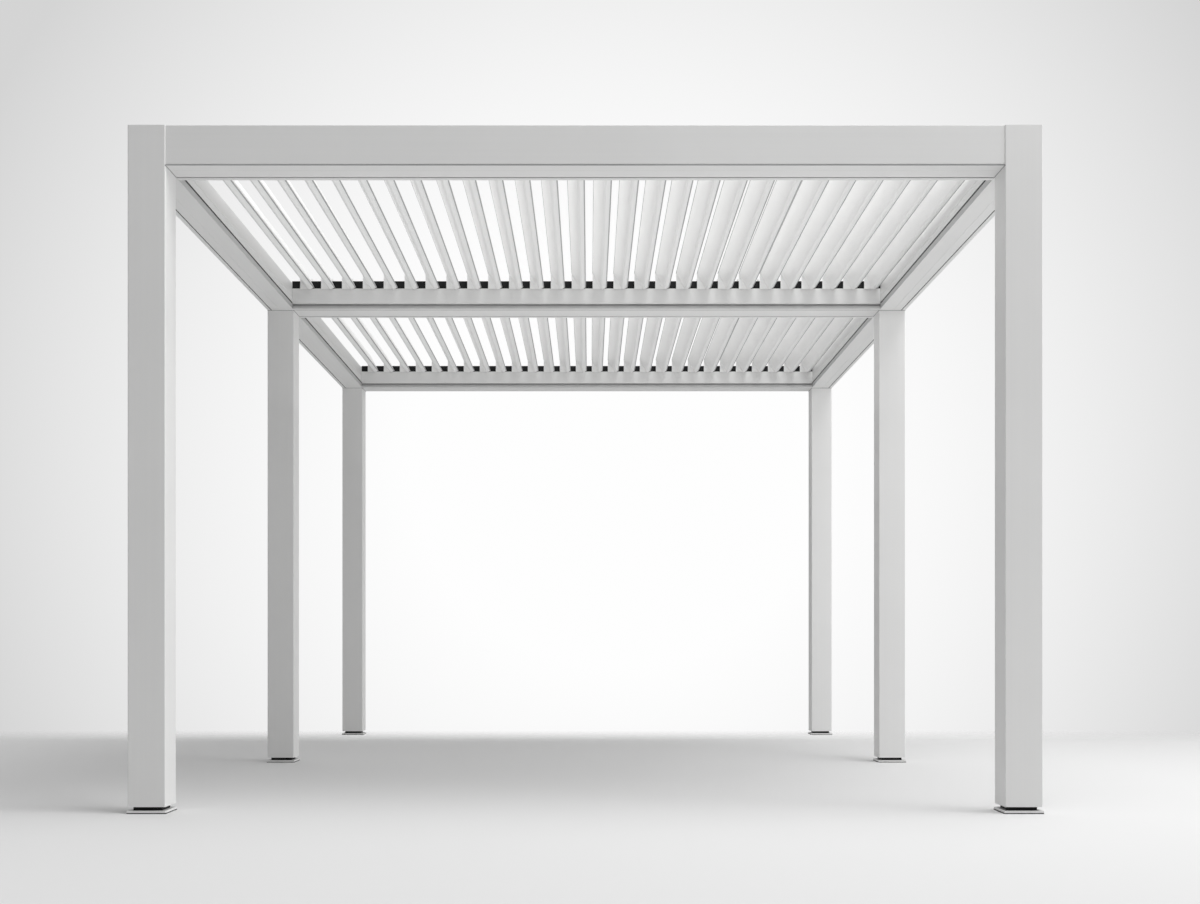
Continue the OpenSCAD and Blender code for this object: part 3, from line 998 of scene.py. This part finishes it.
class PERGOLA_OT_stage(bpy.types.Operator):
    """Floor, backdrop, light panels and the camera at the photo's place"""
    bl_idname = "pergola.stage"
    bl_label = "Set the stage"

    def execute(self, context):
        stage = context.scene.pergola_stage
        points, faces = floor_disc(stage.floor_r)
        mesh = bpy.data.meshes.new("studio_floor")
        mesh.from_pydata(points.tolist(), [], faces)
        mesh.materials.append(floor_material(stage))
        floor = bpy.data.objects.new("studio_floor", mesh)
        context.scene.collection.objects.link(floor)
        studio_world(stage)
        area_light("key_panel", stage.key_power, **KEY_PANEL)
        area_light("top_panel", stage.top_power, **TOP_PANEL)
        area_light("low_panel", stage.low_power, **LOW_PANEL)
        context.scene.view_settings.view_transform = "Standard"
        width, height = stage.picture_px
        camera = bpy.data.cameras.new("photo_camera")
        camera.sensor_width = stage.sensor_mm
        camera.lens = stage.focal_px / width * stage.sensor_mm
        camera.shift_x = (width / 2 - stage.eye_px[0]) / width
        camera.shift_y = (stage.eye_px[1] - height / 2) / width
        camera.clip_end = 500.0
        eye = bpy.data.objects.new("photo_camera", camera)
        eye.location = stage.eye
        eye.rotation_euler = (math.pi / 2, 0.0, 0.0)
        context.scene.collection.objects.link(eye)
        context.scene.camera = eye
        return {"FINISHED"}


PIECES = (
    PERGOLA_OT_frame_finish, PERGOLA_OT_dark_parts_finish, PERGOLA_OT_louvre_finish,
    PERGOLA_OT_louvre_edge_seals, PERGOLA_OT_louvre_end_plates, PERGOLA_OT_pin_bushes,
    PERGOLA_OT_groove_seals, PERGOLA_OT_line_seals, PERGOLA_OT_joint_beads, PERGOLA_OT_plate_rims,
    PERGOLA_OT_stage,
)


class PERGOLA_PT_sidebar(bpy.types.Panel):
    """Lists the pieces of the pergola and the stage"""
    bl_idname = "PERGOLA_PT_sidebar"
    bl_label = "Pergola"
    bl_space_type = "VIEW_3D"
    bl_region_type = "UI"
    bl_category = "Pergola"

    def draw(self, context):
        for piece in PIECES:
            self.layout.operator(piece.bl_idname)


SETTINGS = {
    "pergola_sizes": PergolaSizes, "pergola_colours": PergolaColours, "pergola_stage": PergolaStage,
}
CLASSES = (*SETTINGS.values(), *PIECES, PERGOLA_PT_sidebar)


def register():
    for item in CLASSES:
        bpy.utils.register_class(item)
    for name, kind in SETTINGS.items():
        setattr(bpy.types.Scene, name, bpy.props.PointerProperty(type=kind))


def unregister():
    for name in SETTINGS:
        delattr(bpy.types.Scene, name)
    for item in reversed(CLASSES):
        bpy.utils.unregister_class(item)


def main():
    register()
    bpy.ops.pergola.frame_finish()
    bpy.ops.pergola.dark_parts_finish()
    bpy.ops.pergola.louvre_finish()
    bpy.ops.pergola.louvre_edge_seals()
    bpy.ops.pergola.louvre_end_plates()
    bpy.ops.pergola.pin_bushes()
    bpy.ops.pergola.groove_seals()
    bpy.ops.pergola.line_seals()
    bpy.ops.pergola.joint_beads()
    bpy.ops.pergola.plate_rims()
    bpy.ops.pergola.stage()


if __name__ == "__main__":
    main()
